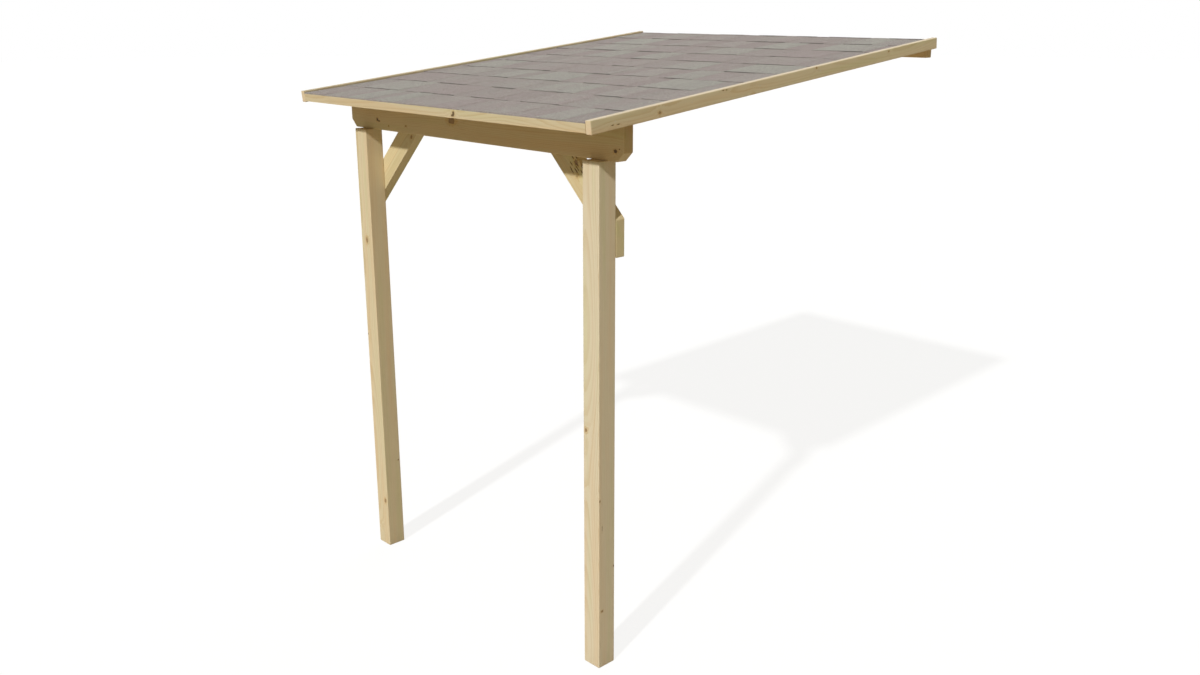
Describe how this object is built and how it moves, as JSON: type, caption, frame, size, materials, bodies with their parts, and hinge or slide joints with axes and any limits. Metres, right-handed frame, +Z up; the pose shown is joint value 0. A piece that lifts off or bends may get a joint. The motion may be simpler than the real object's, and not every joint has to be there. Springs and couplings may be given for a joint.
{
  "type": "side canopy",
  "caption": "Timber side canopy: a low-slope shingled lean-to roof on two square posts with a beam and knee braces, fixed to a wall by a ledger at the back.",
  "frame": {"origin": "middle of the ledger's back face, where the canopy meets the wall; the ground under the posts is at z = -2.4988 m", "axes": "+X along the eave to the right of someone facing the wall, +Y horizontally into the wall, +Z up"},
  "size_m": [1.967, 2.2809, 2.5609],
  "materials": {
    "post_timber": "planed spruce, matt, pale honey",
    "beam_timber": "planed spruce, matt",
    "brace_timber": "planed spruce, matt",
    "ledger_timber": "sawn spruce, matt",
    "rafter_timber": "sawn spruce, matt",
    "deck_timber": "planed spruce boards, matt",
    "fascia_timber": "planed spruce, matt",
    "verge_timber": "planed spruce, matt",
    "shingle_grey": "mineral-surfaced bitumen shingles, rough and matt"
  },
  "bodies": {
    "root": {"post_left": "post_timber", "post_right": "post_timber", "front_beam": "beam_timber", "knee_brace_left": "brace_timber", "knee_brace_right": "brace_timber", "wall_ledger": "ledger_timber", "rafter_1": "rafter_timber", "rafter_2": "rafter_timber", "rafter_3": "rafter_timber", "rafter_4": "rafter_timber", "deck_board_01": "deck_timber", "deck_board_02": "deck_timber", "deck_board_03": "deck_timber", "deck_board_04": "deck_timber", "deck_board_05": "deck_timber", "deck_board_06": "deck_timber", "deck_board_07": "deck_timber", "deck_board_08": "deck_timber", "deck_board_09": "deck_timber", "deck_board_10": "deck_timber", "deck_board_11": "deck_timber", "deck_board_12": "deck_timber", "deck_board_13": "deck_timber", "deck_board_14": "deck_timber", "deck_board_15": "deck_timber", "deck_board_16": "deck_timber", "deck_board_17": "deck_timber", "deck_board_18": "deck_timber", "deck_board_19": "deck_timber", "deck_board_20": "deck_timber", "eave_fascia": "fascia_timber", "verge_board_left": "verge_timber", "verge_board_right": "verge_timber", "shingle_roofing": "shingle_grey"}
  },
  "joints": []
}
